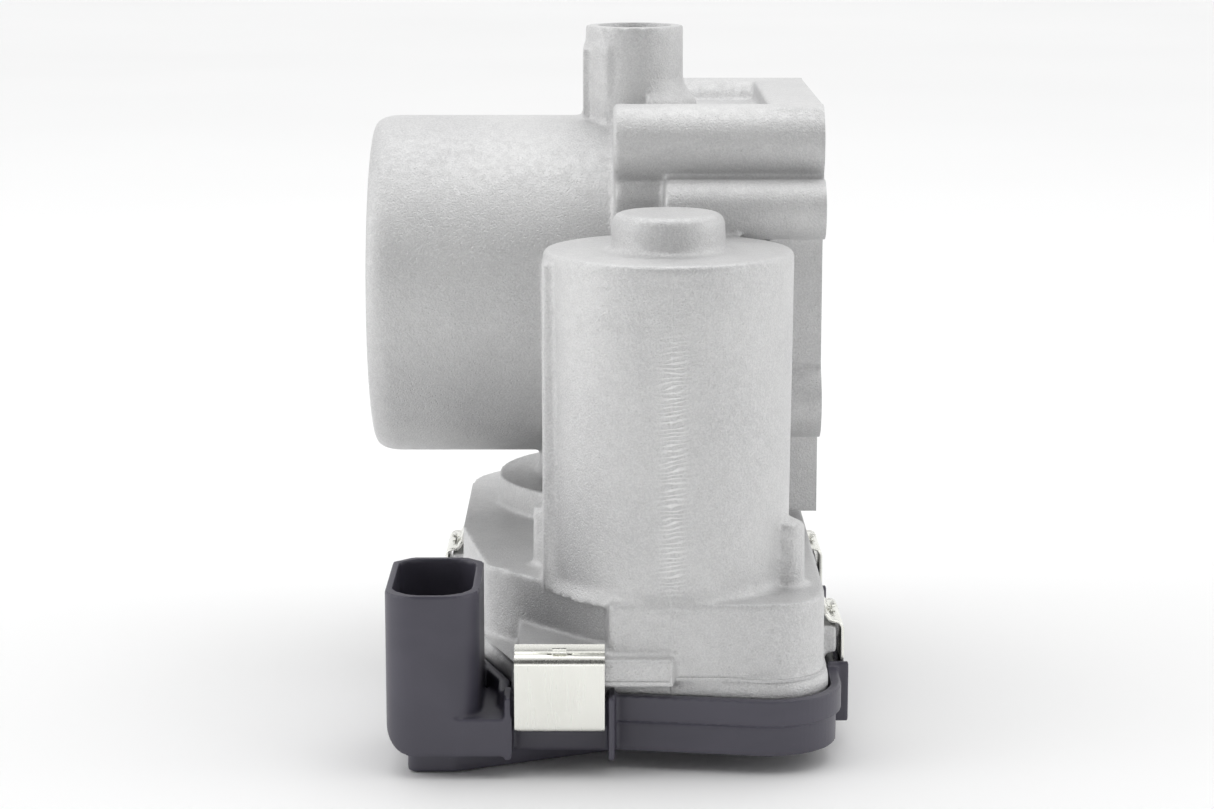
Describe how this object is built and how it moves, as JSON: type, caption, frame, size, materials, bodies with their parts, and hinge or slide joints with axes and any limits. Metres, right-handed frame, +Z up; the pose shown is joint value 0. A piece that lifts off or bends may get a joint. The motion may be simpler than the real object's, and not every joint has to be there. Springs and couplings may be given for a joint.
{
  "type": "electronic throttle body",
  "caption": "Drive-by-wire throttle body: cast housing with round bore and plate valve, motor, reduction gears, clipped-on plastic gear cover and upright electrical connector.",
  "frame": {"origin": "middle of the bounding box's base, on the plane of the gear cover's foot", "axes": "+X along the air bore to the engine flange, +Y to the rear, away from the motor, +Z up along the throttle shaft"},
  "size_m": [0.0808, 0.1146, 0.113],
  "materials": {
    "cast_aluminium": "bead-blasted die casting, matt",
    "black_plastic": "moulded glass-filled plastic, satin",
    "rubber_seal": "matt",
    "spring_steel": "bright rolled strip",
    "steel": "machined",
    "plate_brass": "rolled, satin",
    "gear_plastic": "moulded, satin",
    "circuit_board": "solder mask",
    "tinned_contact": "tin plated",
    "ferrite": "ground, dull",
    "brush_carbon": "matt",
    "sintered_bronze": "sintered, dull",
    "copper": "drawn, satin"
  },
  "bodies": {
    "housing": {"throttle_housing": "cast_aluminium", "gear_cover": "black_plastic", "brush_holder": "black_plastic", "cover_seal": "rubber_seal", "upper_seal": "rubber_seal", "lower_seal": "rubber_seal", "clip_front": "spring_steel", "clip_right_front": "spring_steel", "clip_right_rear": "spring_steel", "clip_left": "spring_steel", "clip_rear": "spring_steel", "return_spring": "spring_steel", "limp_home_spring": "spring_steel", "wave_washer": "spring_steel", "upper_bearing": "steel", "lower_bearing": "steel", "end_plug": "steel", "intermediate_axle": "steel", "motor_can": "steel", "motor_end_frame": "steel", "motor_screw_left": "steel", "motor_screw_right": "steel", "sensor_board": "circuit_board", "connector_pin_1": "tinned_contact", "connector_pin_2": "tinned_contact", "connector_pin_3": "tinned_contact", "connector_pin_4": "tinned_contact", "connector_pin_5": "tinned_contact", "connector_pin_6": "tinned_contact", "motor_terminal_1": "tinned_contact", "motor_terminal_2": "tinned_contact", "magnet_left": "ferrite", "magnet_right": "ferrite", "brush_left": "brush_carbon", "brush_right": "brush_carbon", "motor_bush_upper": "sintered_bronze", "motor_bush_lower": "sintered_bronze"},
    "throttle": {"throttle_shaft": "steel", "throttle_plate": "plate_brass", "plate_screw_lower": "steel", "plate_screw_upper": "steel", "throttle_gear": "gear_plastic", "sensor_wiper": "tinned_contact"},
    "intermediate": {"intermediate_gear": "gear_plastic"},
    "rotor": {"rotor_shaft": "steel", "rotor_core": "steel", "winding_upper": "copper", "winding_lower": "copper", "commutator": "copper", "rotor_pinion": "steel"}
  },
  "joints": [
    {"name": "throttle_turn", "type": "hinge", "parent": "housing", "child": "throttle", "pos_m": [0.00565, 0.02265, 0.067], "axis": [0, 0, 1], "range_deg": [-7, 80], "stiffness_Nm_per_rad": 0.3},
    {"name": "intermediate_turn", "type": "hinge", "parent": "housing", "child": "intermediate", "pos_m": [0.00629, -0.00834, 0.067], "axis": [0, 0, 1], "range_deg": [-340, 36]},
    {"name": "rotor_turn", "type": "hinge", "parent": "housing", "child": "rotor", "pos_m": [0.01065, -0.03235, 0.067], "axis": [0, 0, 1], "range_deg": [-125, 1370]}
  ],
  "couplings": [
    {"joint": "intermediate_turn", "follows": "throttle_turn", "ratio": -4.1667},
    {"joint": "rotor_turn", "follows": "throttle_turn", "ratio": 17.014}
  ]
}
